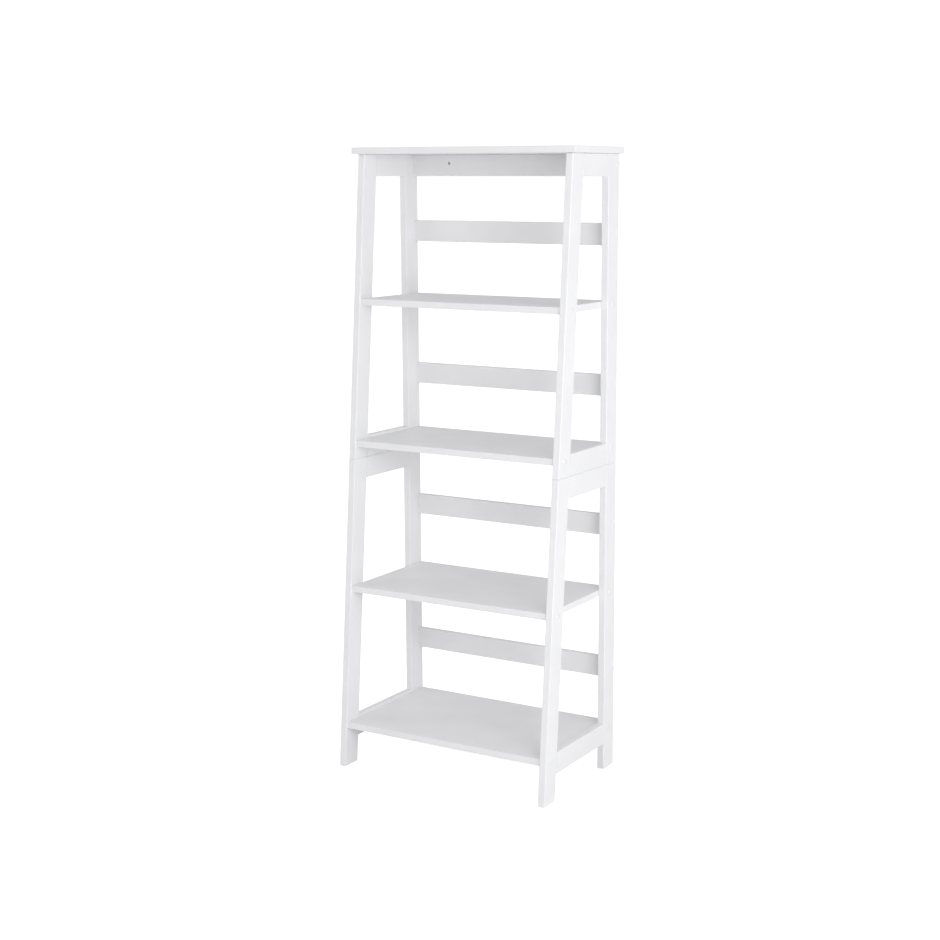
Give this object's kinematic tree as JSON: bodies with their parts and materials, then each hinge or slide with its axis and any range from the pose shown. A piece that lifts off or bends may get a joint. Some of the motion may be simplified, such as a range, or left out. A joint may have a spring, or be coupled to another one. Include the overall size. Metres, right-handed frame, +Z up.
{
  "type": "ladder shelf",
  "caption": "Tall free-standing open shelf on two leaning-front side frames, white painted, with flat shelves and rear rails under an overhanging top panel.",
  "frame": {"origin": "on the floor under the centre of the bounding box", "axes": "+X to the right as one faces the shelf, +Y to the rear (the wall), +Z up"},
  "size_m": [0.6, 0.3529, 1.493],
  "materials": {
    "painted_board": "white satin lacquer on fibreboard",
    "cover_cap": "white moulded, low gloss",
    "zinc_screw": "bright zinc plated",
    "beech_dowel": "plain fluted beech"
  },
  "bodies": {
    "root": {"top_panel": "painted_board", "rear_apron": "painted_board", "shelf_1": "painted_board", "shelf_2": "painted_board", "shelf_3": "painted_board", "shelf_4": "painted_board", "rear_rail_1": "painted_board", "rear_rail_2": "painted_board", "rear_rail_3": "painted_board", "rear_rail_4": "painted_board", "left_lower_rear_leg": "painted_board", "left_lower_front_leg": "painted_board", "left_lower_bottom_rail": "painted_board", "left_lower_top_rail": "painted_board", "left_upper_rear_leg": "painted_board", "left_upper_front_leg": "painted_board", "left_upper_bottom_rail": "painted_board", "left_upper_top_rail": "painted_board", "right_lower_rear_leg": "painted_board", "right_lower_front_leg": "painted_board", "right_lower_bottom_rail": "painted_board", "right_lower_top_rail": "painted_board", "right_upper_rear_leg": "painted_board", "right_upper_front_leg": "painted_board", "right_upper_bottom_rail": "painted_board", "right_upper_top_rail": "painted_board", "shelf_screw_caps": "cover_cap", "rail_screw_caps": "cover_cap", "shelf_screws": "zinc_screw", "rail_screws": "zinc_screw", "top_panel_screws": "zinc_screw", "frame_joint_screws": "zinc_screw", "rail_dowels": "beech_dowel", "frame_dowels": "beech_dowel", "stacking_dowels": "beech_dowel", "top_dowels": "beech_dowel"}
  },
  "joints": []
}
